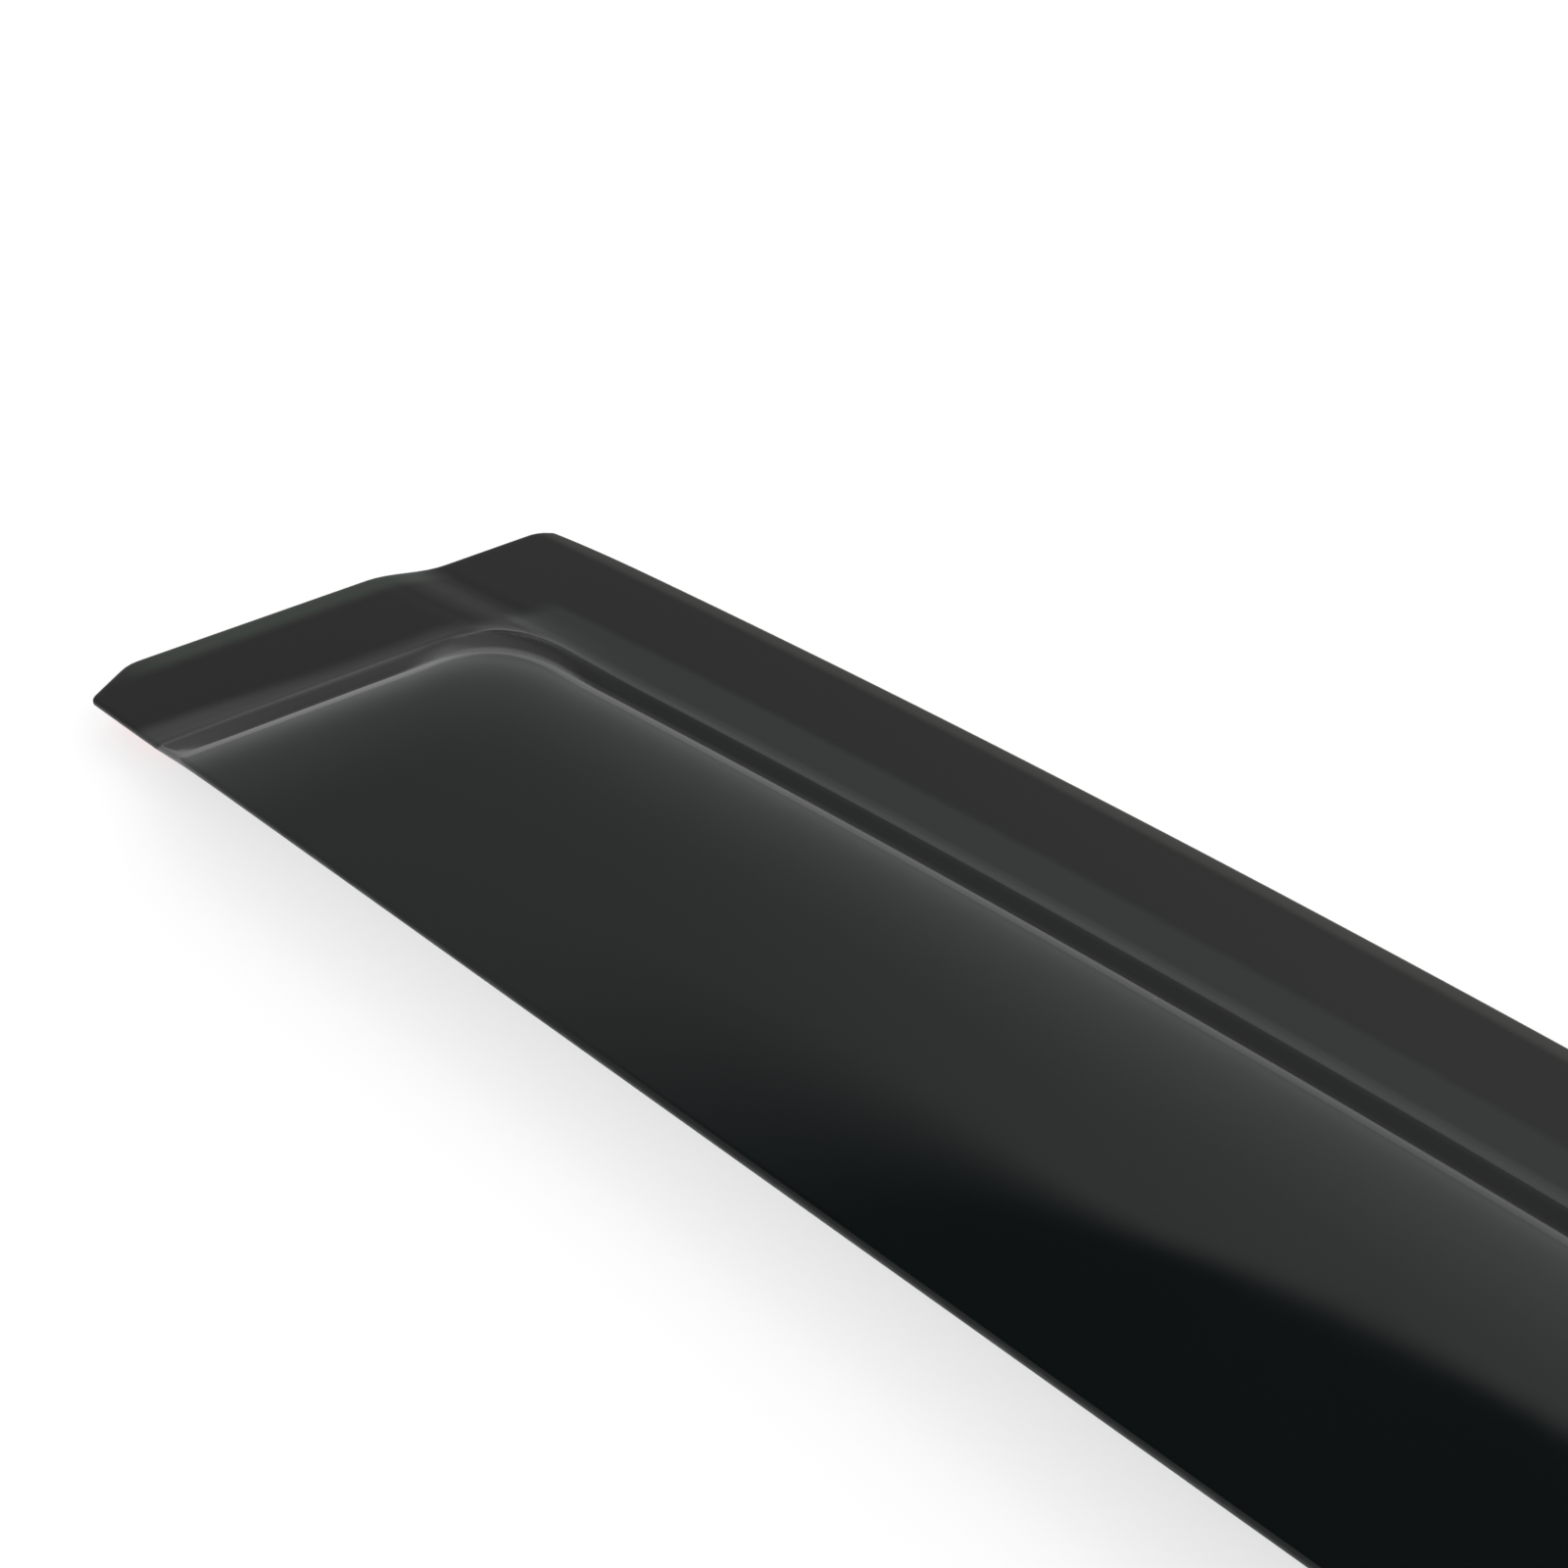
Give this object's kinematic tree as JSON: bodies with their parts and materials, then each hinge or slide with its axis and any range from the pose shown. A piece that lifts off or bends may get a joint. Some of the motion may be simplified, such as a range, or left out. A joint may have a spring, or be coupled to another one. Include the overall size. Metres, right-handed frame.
{
  "type": "window rain deflector",
  "caption": "Smoked acrylic visor for a car door window, with a stepped flange on foam tape under red release liner, a square end and a tapered end.",
  "frame": {"origin": "on the underside of the release liner, on the middle line of the upper tape, below the crown of the arched upper edge", "axes": "+X along the door from the square end to the tapered tip, +Y up towards the roof, +Z outwards from the door"},
  "size_m": [0.5762, 0.0878, 0.0148],
  "materials": {
    "smoked_acrylic": "polished dark smoke, high gloss",
    "foam_tape": "closed-cell foam, matt",
    "release_liner": "glossy red film"
  },
  "bodies": {
    "root": {"visor_shell": "smoked_acrylic", "upper_tape": "foam_tape", "end_tape": "foam_tape", "upper_liner": "release_liner", "end_liner": "release_liner"}
  },
  "joints": []
}
